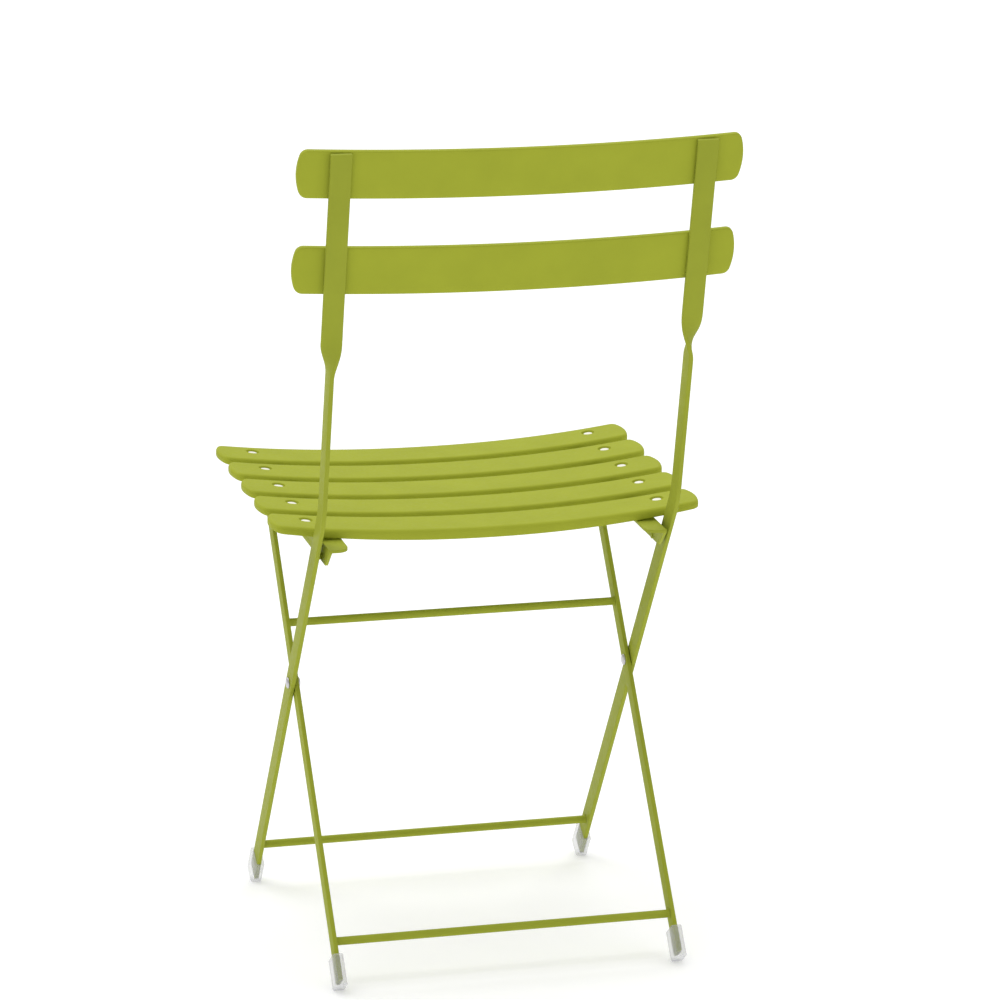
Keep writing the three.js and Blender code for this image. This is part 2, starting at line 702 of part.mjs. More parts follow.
function addRails() {
  bothSides((side, sign) => {
    addMesh(seat, `seat_rail_${side}`, railGeometry(sign), paint());
    const bar = UPRIGHT_X - BAR_THICKNESS / 2 - GAP;
    const ends = sign > 0 ? [PIN_END_X, bar] : [-bar, -PIN_END_X];
    const pin = rodAlongX(PIN_DIAMETER, ...ends, PIN_Y, PIN_HEIGHT);
    addMesh(chair, `seat_rest_pin_${side}`, pin, paint());
  });
}

// ---- the chair ----------------------------------------------------------------

bothSides((side, sign) => {
  addMesh(chair, `upright_${side}`, uprightGeometry(sign), paint());
});
addLegs();
addRod('front_crossbar', UPRIGHT_X, uprightY(FRONT_ROD_HEIGHT), FRONT_ROD_HEIGHT);
addRod('rear_crossbar', LEG_X, legY(REAR_ROD_HEIGHT), REAR_ROD_HEIGHT);
addRod('spreader_bar', LEG_X, legY(SPREADER_ROD_HEIGHT), SPREADER_ROD_HEIGHT);
addBoots();
addRivets();
addRails();
addSeatSlats();
addBackSlats();

export default chair;
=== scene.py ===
# Looks of the folding slatted garden chair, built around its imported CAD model.
# The chair faces -Y, +X is the sitter's left and +Z is up. Blender works in metres:
# the sizes below are in millimetres and are turned into metres as each piece is made.
# Rails and boots are their CAD shapes with softened edges. Every other piece is built
# about its own origin and then moved onto its CAD node's box.

import json
import math

import bmesh
import bpy
from mathutils import Matrix, Vector


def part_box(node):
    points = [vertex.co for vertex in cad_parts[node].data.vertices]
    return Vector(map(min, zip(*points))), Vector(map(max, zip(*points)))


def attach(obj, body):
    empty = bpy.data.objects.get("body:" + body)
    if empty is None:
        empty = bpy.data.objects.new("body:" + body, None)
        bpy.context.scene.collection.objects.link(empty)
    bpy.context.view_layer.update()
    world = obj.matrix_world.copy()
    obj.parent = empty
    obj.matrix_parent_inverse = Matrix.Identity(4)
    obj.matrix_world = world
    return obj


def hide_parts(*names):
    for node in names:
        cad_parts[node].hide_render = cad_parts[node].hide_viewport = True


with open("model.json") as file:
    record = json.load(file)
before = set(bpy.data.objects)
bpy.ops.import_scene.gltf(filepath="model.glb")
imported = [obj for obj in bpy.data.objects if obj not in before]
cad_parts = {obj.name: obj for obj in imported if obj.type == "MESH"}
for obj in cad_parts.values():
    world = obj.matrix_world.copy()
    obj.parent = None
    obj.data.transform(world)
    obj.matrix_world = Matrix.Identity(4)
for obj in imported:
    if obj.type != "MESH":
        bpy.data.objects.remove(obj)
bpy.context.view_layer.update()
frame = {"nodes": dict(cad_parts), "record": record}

MM = 0.001
SIDES = (("left", 1), ("right", -1))

# Flat bars
BAR_THICKNESS = 4.2
UPRIGHT_WIDTH = 20
LEG_WIDTH = 16
BAR_EDGE = 0.9                  # radius of the softened corners
BAR_END_ROUNDING = [(0.55, 0), (0.15, 0.2), (0, 0.6)]   # how far in, and how far along
BEND_RADIUS = 80
TWIST_LOW = 597                 # the long bars turn a quarter turn between these heights
TWIST_HIGH = 643

# Boots
BOOT_WIDTH = 24.4
BOOT_END = 6                    # solid plastic under the end of the bar
BOOT_WORN = 2.8                 # how much of the low corner the flat sole takes off
BOOT_EDGE = 0.5

# Slats
SLAT_LENGTH = 422.6
SEAT_SLAT = {"width": 48.2, "bulge": 5.2, "corner": 8, "sag": 13.9, "power": 2.15}
BACK_SLAT = {"width": 46.8, "bulge": 4.8, "corner": 8, "sag": 15.8, "power": 2}
SEAT_SLAT_DEPTH = 10.6          # of the turned-down edge, mid-way along
SEAT_SLAT_END_DEPTH = 7.4
SEAT_SLAT_SHEET = 1.5
SEAT_SLAT_EDGE = 4
SEAT_SLAT_COUNT = 5
BACK_SLAT_THICKNESS = 6
BACK_SLAT_EDGE = 1.5
SLAT_END_STEPS = 9              # of the shallow arc at a slat's end
SLAT_CORNER_STEPS = 9

# Dimples in the seat slats, and the plugs in them
DIMPLE_X = 173.8
DIMPLE_Y = -6.5                 # ahead of the middle of the slat
DIMPLE_FLOOR_RADIUS = 5.5
DIMPLE_RIM_RADIUS = 7.0
DIMPLE_DEPTH = 2.2
PLUG_HOLE_RADIUS = 3.3
PLUG_HEAD_RADIUS = 4.4
PLUG_HEAD_HEIGHT = 1.0
PLUG_COLLAR_DEPTH = 1.5
PLUG_ROUNDING = 0.3
GAP = 0.3                       # between pieces that touch

# Rails
RAIL_EDGE = 0.6

# Round pieces
ROD_RADIUS = 4
WELD_SIZE = 1.3                 # of the fillet where a rod meets a bar, across
WELD_REACH = 1.4 * WELD_SIZE    # and along the rod
PIN_RADIUS = 3.5
PIN_ROUNDING = 0.8
RIVET_RADIUS = 3
RIVET_HEAD_RADIUS = 5.5
RIVET_HEAD_HEIGHT = 2.4


def centre(node):
    """The middle of a CAD node's box, in metres."""
    low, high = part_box(node)
    return (low + high) / 2


def lean_between(lower, upper):
    """The angle off the vertical, backwards, of the line between two points."""
    return math.atan2(upper.y - lower.y, upper.z - lower.z)


PIVOT = centre("cross_rivet_left")
HINGE = centre("seat_hinge_rivet_left")
UPRIGHT_LEAN = lean_between(centre("front_crossbar"), PIVOT)
LEG_LEAN = -lean_between(centre("rear_crossbar"), PIVOT)
BACK_LEAN = lean_between(centre("back_slat_lower"), centre("back_slat_upper"))
SEAT_TILT = math.atan2(
    centre("seat_slat_5").z - centre("seat_slat_1").z,
    centre("seat_slat_5").y - centre("seat_slat_1").y,
)


# ---- materials ------------------------------------------------------------------

NOISE_LOW = 0.3                 # noise seldom leaves this range
NOISE_HIGH = 0.7


def new_material(name):
    """A new material, its node tree and its Principled shader."""
    material = bpy.data.materials.new(name)
    material.use_nodes = True
    tree = material.node_tree
    shader = tree.nodes["Principled BSDF"]
    return material, tree, shader


def object_noise(tree, scale, detail, roughness=0.5):
    """Noise fixed to the piece: scale is in repeats per metre."""
    coordinates = tree.nodes.new("ShaderNodeTexCoord")
    noise = tree.nodes.new("ShaderNodeTexNoise")
    noise.inputs["Scale"].default_value = scale
    noise.inputs["Detail"].default_value = detail
    noise.inputs["Roughness"].default_value = roughness
    tree.links.new(coordinates.outputs["Object"], noise.inputs["Vector"])
    return noise.outputs["Fac"]


def spread(tree, value, low, high):
    """Maps noise, which stays near the middle, onto low to high."""
    mapped = tree.nodes.new("ShaderNodeMapRange")
    mapped.inputs["From Min"].default_value = NOISE_LOW
    mapped.inputs["From Max"].default_value = NOISE_HIGH
    mapped.inputs["To Min"].default_value = low
    mapped.inputs["To Max"].default_value = high
    tree.links.new(value, mapped.inputs["Value"])
    return mapped.outputs["Result"]


def two_tone(tree, value, first, second):
    """A colour that runs from first to second with the noise."""
    ramp = tree.nodes.new("ShaderNodeValToRGB")
    ramp.color_ramp.elements[0].position = NOISE_LOW
    ramp.color_ramp.elements[0].color = (*first, 1)
    ramp.color_ramp.elements[1].position = NOISE_HIGH
    ramp.color_ramp.elements[1].color = (*second, 1)
    tree.links.new(value, ramp.inputs["Fac"])
    return ramp.outputs["Color"]


def add_bump(tree, shader, value, distance, strength=1.0):
    """Turns noise into bumps of about this height, in metres."""
    bump = tree.nodes.new("ShaderNodeBump")
    bump.inputs["Distance"].default_value = distance
    bump.inputs["Strength"].default_value = strength
    tree.links.new(value, bump.inputs["Height"])
    tree.links.new(bump.outputs["Normal"], shader.inputs["Normal"])


def powder_coat(name, base, shade):
    """Satin powder coat: faint orange peel, and a slightly uneven gloss and colour."""
    material, tree, shader = new_material(name)
    clouds = object_noise(tree, 35, 4)
    colour = two_tone(tree, clouds, [c * shade for c in base], base)
    tree.links.new(colour, shader.inputs["Base Color"])
    gloss = object_noise(tree, 260, 3)
    tree.links.new(spread(tree, gloss, 0.44, 0.58), shader.inputs["Roughness"])
    peel = object_noise(tree, 900, 2, 0.6)
    add_bump(tree, shader, peel, 0.00006, 0.5)
    shader.inputs["Specular IOR Level"].default_value = 0.05
    return material


def zinc_metal(name):
    """Bright zinc with fine handling marks."""
    material, tree, shader = new_material(name)
    clouds = object_noise(tree, 420, 5)
    colour = two_tone(tree, clouds, (0.50, 0.49, 0.51), (0.66, 0.65, 0.66))
    tree.links.new(colour, shader.inputs["Base Color"])
    tree.links.new(spread(tree, clouds, 0.28, 0.5), shader.inputs["Roughness"])
    shader.inputs["Metallic"].default_value = 0.85
    add_bump(tree, shader, object_noise(tree, 1600, 3), 0.00004, 0.6)
    return material


def clear_plastic(name):
    """Cloudy clear plastic: a whitish skin that lets much of what is behind it through,
    straight on, and hides more of it at a slant."""
    material, tree, shader = new_material(name)
    clouds = object_noise(tree, 120, 3)
    colour = two_tone(tree, clouds, (0.60, 0.60, 0.64), (0.68, 0.68, 0.72))
    tree.links.new(colour, shader.inputs["Base Color"])
    tree.links.new(spread(tree, clouds, 0.3, 0.42), shader.inputs["Roughness"])
    shader.inputs["Specular IOR Level"].default_value = 0.3
    slant = tree.nodes.new("ShaderNodeLayerWeight")
    slant.inputs["Blend"].default_value = 0.3
    milky = tree.nodes.new("ShaderNodeMapRange")
    milky.inputs["To Min"].default_value = 0.2
    milky.inputs["To Max"].default_value = 0.5
    tree.links.new(slant.outputs["Facing"], milky.inputs["Value"])
    tree.links.new(milky.outputs["Result"], shader.inputs["Alpha"])
    return material


def white_plastic(name):
    """Ivory-white moulded plastic, slightly mottled."""
    material, tree, shader = new_material(name)
    clouds = object_noise(tree, 500, 3)
    colour = two_tone(tree, clouds, (0.84, 0.82, 0.72), (0.93, 0.91, 0.82))
    tree.links.new(colour, shader.inputs["Base Color"])
    tree.links.new(spread(tree, clouds, 0.35, 0.5), shader.inputs["Roughness"])
    shader.inputs["Subsurface Weight"].default_value = 0.1
    shader.inputs["Subsurface Radius"].default_value = (0.002, 0.002, 0.0015)
    add_bump(tree, shader, object_noise(tree, 1500, 2), 0.00003, 0.5)
    return material


MATERIALS = {
    # The bar paint's base is set darker than the slat paint's: painted shade for the bars, whose
    # faces stand upright and catch less of the overhead light.
    "green_bar_paint": powder_coat("bar_paint", (0.345, 0.388, 0.040), 0.94),
    "green_slat_paint": powder_coat("slat_paint", (0.376, 0.420, 0.037), 0.94),
    "zinc": zinc_metal("zinc_plating"),
    "clear_plastic": clear_plastic("clear_boot_plastic"),
    "white_plastic": white_plastic("white_plug_plastic"),
}


# ---- making and placing pieces ---------------------------------------------------


def node_slot(node):
    """The record's material slot of a CAD node."""
    for row in frame["record"]["subparts"]:
        if row["node"] == node:
            return row["material_slot"]
    raise ValueError(f"no material slot for {node}")


def node_body(node):
    """The CAD body that a node belongs to."""
    for body, members in frame["record"]["behaviour"]["bodies"].items():
        if node in members:
            return body
    raise ValueError(f"no body for {node}")


def finish_piece(name, node, mesh, smooth_angle):
    """Shades a mesh, gives it its node's finish, and hangs it on the node's body."""
    for polygon in mesh.polygons:
        polygon.use_smooth = True
    mesh.set_sharp_from_angle(angle=math.radians(smooth_angle))
    piece = bpy.data.objects.new(name, mesh)
    bpy.context.scene.collection.objects.link(piece)
    slot = node_slot(node)
    mesh.materials.clear()
    mesh.materials.append(MATERIALS[slot])
    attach(piece, node_body(node))
    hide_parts(node)
    return piece


def add_piece(node, vertices, faces, smooth_angle=35):
    """A piece from points in millimetres, already turned the right way, which is moved
    so that the middle of its box is the middle of its CAD node's box."""
    mesh = bpy.data.meshes.new(node + "_fine")
    mesh.from_pydata([vertex * MM for vertex in vertices], [], faces)
    mesh.validate()
    low = Vector(min(v.co[i] for v in mesh.vertices) for i in range(3))
    high = Vector(max(v.co[i] for v in mesh.vertices) for i in range(3))
    mesh.transform(Matrix.Translation(centre(node) - (low + high) / 2))
    outward = bmesh.new()
    outward.from_mesh(mesh)
    bmesh.ops.recalc_face_normals(outward, faces=outward.faces)
    outward.to_mesh(mesh)
    outward.free()
    return finish_piece(node + "_fine", node, mesh, smooth_angle)


def turned(vertices, matrix):
    return [matrix @ vertex for vertex in vertices]


# ---- bowed slats -----------------------------------------------------------------

PATCH = 11                      # half side of the finely meshed square round a dimple
PATCH_CELLS = 12                # cells from its middle to its side
PATCH_LEAD = 2                  # cells between the patch and the rounded end
HOLE_RING = 2                   # the ring of cells where the plug's hole is cut
WALL_START = 0.34               # the rings of the dimple's wall, as shares of the patch
WALL_END = 0.8


def smoothstep(share):
    share = min(max(share, 0), 1)
    return share * share * (3 - 2 * share)


def patch_stations():
    """Offsets from a dimple's middle of the grid lines across its patch."""
    return [PATCH * i / PATCH_CELLS for i in range(-PATCH_CELLS, PATCH_CELLS + 1)]


def straight_stations(corner_x, dimples):
    """Where grid lines cross the straight sides, from the +X corner to the -X corner."""
    spacing = 9
    half = []
    if dimples:
        near = [DIMPLE_X + offset for offset in reversed(patch_stations())]
        lead = (corner_x - near[0]) / PATCH_LEAD
        half += [corner_x - lead * i for i in range(PATCH_LEAD)] + near
        corner_x = near[-1]
    steps = round(corner_x / spacing)
    first = 1 if dimples else 0
    half += [corner_x * (1 - i / steps) for i in range(first, steps)]
    return half + [0] + [-x for x in reversed(half)]


def half_outline(form, inset, dimples):
    """Half of a slat's outline, y from 0 up and back to 0, from the +X tip to the -X
    tip: an arc at the end, a rounded corner, and the straight side."""
    width, bulge, corner = form["width"], form["bulge"], form["corner"]
    end_radius = (width * width / 4 + bulge * bulge) / (2 * bulge)
    end_centre = SLAT_LENGTH / 2 - end_radius
    corner_y = width / 2 - corner
    corner_x = end_centre + math.sqrt((end_radius - corner) ** 2 - corner_y ** 2)
    meeting = math.atan2(corner_y, corner_x - end_centre)
    quarter = []
    for i in range(SLAT_END_STEPS):
        angle = meeting * i / SLAT_END_STEPS
        radius = end_radius - inset
        quarter.append((end_centre + radius * math.cos(angle), radius * math.sin(angle)))
    for i in range(SLAT_CORNER_STEPS):
        angle = meeting + (math.pi / 2 - meeting) * i / SLAT_CORNER_STEPS
        radius = corner - inset
        quarter.append((corner_x + radius * math.cos(angle), corner_y + radius * math.sin(angle)))
    straight = [(x, width / 2 - inset) for x in straight_stations(corner_x, dimples)]
    return quarter + straight + [(-x, y) for x, y in reversed(quarter)]


def dimple_point(a, b):
    """Moves a point of the square patch, a and b from -1 to 1, so that the grid lines
    near the middle become circles. Returns its place, and its ring's radius."""
    share = max(abs(a), abs(b))
    if share < 1e-9:
        return 0, 0, 0
    if abs(a) >= abs(b):
        angle = math.pi / 4 * b / a
        direction = (math.copysign(math.cos(angle), a), math.copysign(1, a) * math.sin(angle))
    else:
        angle = math.pi / 4 * a / b
        direction = (math.copysign(1, b) * math.sin(angle), math.copysign(math.cos(angle), b))
    past_rim = 0.4
    stops = [
        (0, 0),
        (HOLE_RING / PATCH_CELLS, PLUG_HOLE_RADIUS),
        (WALL_START, DIMPLE_FLOOR_RADIUS),
        (WALL_END, DIMPLE_RIM_RADIUS + past_rim),
        (1, PATCH),
    ]
    for (share0, radius0), (share1, radius1) in zip(stops, stops[1:]):
        if share <= share1 + 1e-9:
            radius = radius0 + (radius1 - radius0) * (share - share0) / (share1 - share0)
            break
    square = max(0, (share - WALL_END) / (1 - WALL_END))
    x = direction[0] * radius * (1 - square) + a * PATCH * square
    y = direction[1] * radius * (1 - square) + b * PATCH * square
    return x, y, radius


def dimple_depth(radius, thickness):
    """How far a dimple sinks at this radius; the underside's wall is further out."""
    floor = DIMPLE_FLOOR_RADIUS + 0.4 * thickness
    rim = DIMPLE_RIM_RADIUS + 0.6 * thickness
    return DIMPLE_DEPTH * (1 - smoothstep((radius - floor) / (rim - floor)))


def across_stations(form, edge, dimples):
    """Shares of the flat half width where grid lines run along a slat, from 1 to -1."""
    flat = form["width"] / 2 - edge
    if dimples:
        patch = [DIMPLE_Y + offset for offset in reversed(patch_stations())]
        lines = [flat, (flat + patch[0]) / 2, *patch, (patch[-1] - flat) / 2, -flat]
    else:
        steps = 8
        lines = [flat * (1 - 2 * i / steps) for i in range(steps + 1)]
    return [line / flat for line in lines]


def slat_rise(form, x):
    """Height of a bowed slat over its own middle."""
    return form["sag"] * abs(2 * x / SLAT_LENGTH) ** form["power"]


def slat_mesh(form, steps, edge, dimples=False):
    """A slat lying flat whose ends curve up. steps holds the [inset, height, height at
    the ends] of each ring of the outline, from the underside round the edge to the top.
    Returns points in millimetres, and faces."""
    vertices = []
    faces = []

    def add_point(x, y, height):
        vertices.append(Vector((x, y, height + slat_rise(form, x))))
        return len(vertices) - 1

    rings = []
    for inset, height, end_height in steps:
        half = half_outline(form, inset, dimples)
        levels = [height + (end_height - height) * (2 * x / SLAT_LENGTH) ** 2 for x, _ in half]
        upper = [add_point(x, y, level) for (x, y), level in zip(half, levels)]
        lower = [add_point(x, -y, level) for (x, y), level in zip(half[1:-1], levels[1:-1])]
        rings.append(upper + lower[::-1])
    count = len(rings[0])
    for ring, following in zip(rings, rings[1:]):
        for i in range(count):
            j = (i + 1) % count
            faces.append((ring[i], ring[j], following[j], following[i]))

    shares = across_stations(form, edge, dimples)
    thicknesses = (SEAT_SLAT_SHEET, 0) if dimples else (None, None)
    grids = [
        slat_grid(form, steps[0], rings[0], shares, add_point, thicknesses[0]),
        slat_grid(form, steps[-1], rings[-1], shares, add_point, thicknesses[1]),
    ]
    for grid in grids:
        faces += grid_faces(grid, dimples)
    if dimples:
        for sign in (1, -1):
            faces += hole_wall(*(hole_ring(grid, sign) for grid in grids))
    return vertices, faces


def slat_grid(form, step, ring, shares, add_point, thickness):
    """Rows of point numbers across a slat's face, one row for each point of the half
    outline. thickness is how far the face lies under the top of the sheet, and None
    where there are no dimples."""
    inset, height, _ = step
    dimples = thickness is not None
    half = half_outline(form, inset, dimples)
    grid = []
    for k, (x, y) in enumerate(half):
        if k in (0, len(half) - 1):
            grid.append([ring[k]] * len(shares))
            continue
        row = [ring[k]]
        for share in shares[1:-1]:
            px, py, sunk = x, y * share, 0
            side = math.copysign(1, x)
            a, b = (x - side * DIMPLE_X) / PATCH, (y * share - DIMPLE_Y) / PATCH
            if dimples and max(abs(a), abs(b)) < 1 - 1e-6:
                dx, dy, radius = dimple_point(a, b)
                px, py = side * DIMPLE_X + dx, DIMPLE_Y + dy
                sunk = dimple_depth(radius, thickness)
            row.append(add_point(px, py, height - sunk))
        row.append(ring[len(ring) - k])
        grid.append(row)
    return grid


def middle_of_patch(grid, sign):
    """Row of the grid line through the middle of the dimple on this side."""
    row = SLAT_END_STEPS + SLAT_CORNER_STEPS + PATCH_LEAD + PATCH_CELLS
    return row if sign > 0 else len(grid) - 1 - row


def in_hole(grid, k, j):
    """True for a cell, named by its first row and column, inside a plug's hole."""
    middle = len(grid[0]) // 2
    for sign in (1, -1):
        row = middle_of_patch(grid, sign)
        if -HOLE_RING <= k - row < HOLE_RING and -HOLE_RING <= j - middle < HOLE_RING:
            return True
    return False


def grid_faces(grid, dimples):
    faces = []
    for k in range(len(grid) - 1):
        for j in range(len(grid[0]) - 1):
            if dimples and in_hole(grid, k, j):
                continue
            corners = [grid[k][j], grid[k + 1][j], grid[k + 1][j + 1], grid[k][j + 1]]
            distinct = list(dict.fromkeys(corners))
            if len(distinct) > 2:
                faces.append(tuple(distinct))
    return faces


def hole_ring(grid, sign):
    """Point numbers round the edge of a plug's hole, in order."""
    row = middle_of_patch(grid, sign)
    middle = len(grid[0]) // 2
    reach = HOLE_RING
    loop = [(reach, j) for j in range(-reach, reach)]
    loop += [(-k, reach) for k in range(-reach, reach)]
    loop += [(-reach, -j) for j in range(-reach, reach)]
    loop += [(k, -reach) for k in range(-reach, reach)]
    return [grid[row + k][middle + j] for k, j in loop]


def hole_wall(lower, upper):
    count = len(lower)
    return [
        (lower[i], lower[(i + 1) % count], upper[(i + 1) % count], upper[i])
        for i in range(count)
    ]


def add_seat_slats():
    """Pressed trays: under the sheet, round the lip of the turned-down edge, and up over
    the top."""
    radius = SEAT_SLAT_EDGE
    sheet = SEAT_SLAT_SHEET
    inner = radius - sheet
    lip = sheet / 2
    arc_steps = 6
    lip_steps = 4
    steps = []
    for i in range(arc_steps + 1):
        angle = math.pi / 2 * i / arc_steps
        height = -radius + inner * math.cos(angle)
        steps.append((radius - inner * math.sin(angle), height, height))
    for i in range(lip_steps + 1):
        angle = math.pi * i / lip_steps
        rounding = lip - lip * math.sin(angle)
        inset = lip + lip * math.cos(angle)
        steps.append((inset, rounding - SEAT_SLAT_DEPTH, rounding - SEAT_SLAT_END_DEPTH))
    for i in range(arc_steps + 1):
        angle = math.pi / 2 * i / arc_steps
        height = radius * (math.sin(angle) - 1)
        steps.append((radius * (1 - math.cos(angle)), height, height))
    points, faces = slat_mesh(SEAT_SLAT, steps, radius, dimples=True)
    points = turned(points, Matrix.Rotation(SEAT_TILT, 4, "X"))
    for number in range(1, SEAT_SLAT_COUNT + 1):
        add_piece(f"seat_slat_{number}", points, faces, 50)


def add_back_slats():
    """Closed plates with softened edges."""
    radius = BACK_SLAT_EDGE
    arc_steps = 5
    steps = []
    for i in range(arc_steps + 1):
        angle = math.pi / 2 * i / arc_steps
        height = radius * (1 - math.cos(angle))
        steps.append((radius * (1 - math.sin(angle)), height, height))
    for i in range(arc_steps + 1):
        angle = math.pi / 2 * i / arc_steps
        height = BACK_SLAT_THICKNESS - radius * (1 - math.sin(angle))
        steps.append((radius * (1 - math.cos(angle)), height, height))
    points, faces = slat_mesh(BACK_SLAT, steps, radius)
    points = turned(points, Matrix.Rotation(math.pi / 2 - BACK_LEAN, 4, "X"))
    for name in ("lower", "upper"):
        add_piece(f"back_slat_{name}", points, faces, 50)


# ---- bars ------------------------------------------------------------------------


def bar_section(width, thickness, radius, inset=0):
    """The rounded rectangle of a flat bar's cross-section, shrunk by inset."""
    corner_steps = 4
    wide = width / 2 - radius
    flat = thickness / 2 - radius
    points = []
    corners = ((wide, flat), (-wide, flat), (-wide, -flat), (wide, -flat))
    for quarter, (a, b) in enumerate(corners):
        for i in range(corner_steps + 1):
            angle = math.pi / 2 * (quarter + i / corner_steps)
            reach = radius - inset
            points.append((a + reach * math.cos(angle), b + reach * math.sin(angle)))
    return points


def loft(rings):
    """A closed surface through rings of the same number of points."""
    count = len(rings[0])
    vertices = [point for ring in rings for point in ring]
    faces = []
    for first in range(0, (len(rings) - 1) * count, count):
        for i in range(count):
            a = first + i
            b = first + (i + 1) % count
            faces.append((a, b, b + count, a + count))
    faces.append(tuple(range(count)))
    faces.append(tuple(range((len(rings) - 1) * count, len(rings) * count)))
    return vertices, faces


def upright_stations(foot_height):
    """Stations [y, z, lean, turn] along a long bar, from the foot to the top."""
    bend_steps = 20
    twist_steps = 44
    half = BAR_THICKNESS / 2
    _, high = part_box("upright_left")
    top_y = high.y / MM - half * math.cos(BACK_LEAN)
    top_z = high.z / MM - half * math.sin(BACK_LEAN)
    pivot_y, pivot_z = PIVOT.y / MM, PIVOT.z / MM
    slope, back_slope = math.tan(UPRIGHT_LEAN), math.tan(BACK_LEAN)
    bend_z = (top_y - top_z * back_slope - pivot_y + pivot_z * slope) / (slope - back_slope)
    bend_y = pivot_y + (bend_z - pivot_z) * slope
    tangent = BEND_RADIUS * math.tan((UPRIGHT_LEAN - BACK_LEAN) / 2)
    centre_y = bend_y - tangent * math.sin(UPRIGHT_LEAN) - BEND_RADIUS * math.cos(UPRIGHT_LEAN)
    centre_z = bend_z - tangent * math.cos(UPRIGHT_LEAN) + BEND_RADIUS * math.sin(UPRIGHT_LEAN)
    foot_y = pivot_y + (foot_height - pivot_z) * slope
    stations = [(foot_y, foot_height, UPRIGHT_LEAN, 0)]
    for i in range(bend_steps + 1):
        lean = UPRIGHT_LEAN + (BACK_LEAN - UPRIGHT_LEAN) * i / bend_steps
        y = centre_y + BEND_RADIUS * math.cos(lean)
        z = centre_z - BEND_RADIUS * math.sin(lean)
        stations.append((y, z, lean, 0))
    for i in range(twist_steps + 1):
        share = i / twist_steps
        height = TWIST_LOW + (TWIST_HIGH - TWIST_LOW) * share
        turn = math.pi / 2 * smoothstep(share)
        stations.append((top_y + (height - top_z) * back_slope, height, BACK_LEAN, turn))
    stations.append((top_y, top_z, BACK_LEAN, math.pi / 2))
    return stations


def add_uprights():
    """Below the twist the bar stands on edge. Going up, its outer face turns to the
    back. The ends are rounded off a little, as cut and tumbled bars are."""
    sole = BOOT_WIDTH / 2 * math.sin(UPRIGHT_LEAN) - BOOT_WORN
    foot_height = sole + BOOT_END * math.cos(UPRIGHT_LEAN)
    stations = upright_stations(foot_height)
    for side, sign in SIDES:
        rings = []
        for number, (y, z, lean, turn) in enumerate(stations):
            along = Vector((0, math.sin(lean), math.cos(lean)))
            back = Vector((0, math.cos(lean), -math.sin(lean)))
            flat = Vector((sign * math.cos(turn), 0, 0)) + back * math.sin(turn)
            wide = flat.cross(along)
            middle = Vector((0, y, z))
            offsets = [(0, 0)]
            if number == 0:
                offsets = BAR_END_ROUNDING
            elif number == len(stations) - 1:
                offsets = [(inset, -shift) for inset, shift in reversed(BAR_END_ROUNDING)]
            for inset, shift in offsets:
                section = bar_section(UPRIGHT_WIDTH, BAR_THICKNESS, BAR_EDGE, inset)
                rings.append([middle + along * shift + wide * w + flat * f for w, f in section])
        add_piece(f"upright_{side}", *loft(rings), 40)


def plate(outline, thickness, radius):
    """A flat plate with rounded edges, in the XY plane. outline(inset) gives its
    outline at that inset."""
    arc_steps = 4
    half = thickness / 2
    rings = []
    for sign in (-1, 1):
        for i in range(arc_steps + 1):
            angle = math.pi / 2 * (i if sign > 0 else arc_steps - i) / arc_steps
            inset = radius * (1 - math.cos(angle))
            height = sign * (half - radius + radius * math.sin(angle))
            rings.append([Vector((x, y, height)) for x, y in outline(inset)])
    return loft(rings)


def add_legs():
    """A straight bar, square at the foot and round about the hinge at the top."""
    sole = BOOT_WIDTH / 2 * math.sin(LEG_LEAN) - BOOT_WORN
    foot_height = sole + BOOT_END * math.cos(LEG_LEAN)
    foot = (PIVOT.z / MM - foot_height) / math.cos(LEG_LEAN)
    reach = (HINGE.z - PIVOT.z) / MM / math.cos(LEG_LEAN)
    top_steps = 20

    def outline(inset):
        half = LEG_WIDTH / 2 - inset
        points = [(-foot + inset, half), (-foot + inset, -half)]
        for i in range(top_steps + 1):
            angle = math.pi * (i / top_steps - 0.5)
            points.append((reach + half * math.cos(angle), half * math.sin(angle)))
        return points

    points, faces = plate(outline, BAR_THICKNESS, BAR_EDGE)
    points = turned(points, side_view(math.pi / 2 + LEG_LEAN))
    for side, _ in SIDES:
        add_piece(f"rear_leg_{side}", points, faces, 40)


def side_view(angle):
    """Turns drawing X to this angle from +Y towards +Z, and drawing Z to +X."""
    along = Vector((0, math.cos(angle), math.sin(angle)))
    across = Vector((0, -math.sin(angle), math.cos(angle)))
    return Matrix((along, across, Vector((1, 0, 0)))).transposed().to_4x4()


# ---- round pieces ----------------------------------------------------------------


def lathe(profile, axis_turn, segments=48):
    """Turns [radius, height] pairs about Z, closed at both ends, then turns the whole."""
    angles = [2 * math.pi * i / segments for i in range(segments)]
    rings = [
        [Vector((radius * math.cos(a), radius * math.sin(a), height)) for a in angles]
        for radius, height in profile
    ]
    vertices, faces = loft(rings)
    return turned(vertices, axis_turn), faces


def dome(radius, height):
    """Profile of a low domed head, from its rim at height 0 to near its middle."""
    steps = 8
    rounding = 0.15
    brim = 0.5
    points = [(radius - rounding, 0), (radius, rounding)]
    for i in range(1, steps + 1):
        angle = math.pi / 2 * i / steps
        reach = radius * max(math.cos(angle), rounding / radius)
        points.append((reach, brim + (height - brim) * math.sin(angle)))
    return points


def both_ends(end):
    """A whole profile from the [radius, height] pairs of its upper end."""
    return [(radius, -height) for radius, height in reversed(end)] + end


ALONG_X = Matrix.Rotation(math.pi / 2, 4, "Y")


def half_length(node):
    """Half of a CAD node's size along X, in millimetres."""
    low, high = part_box(node)
    return (high.x - low.x) / MM / 2


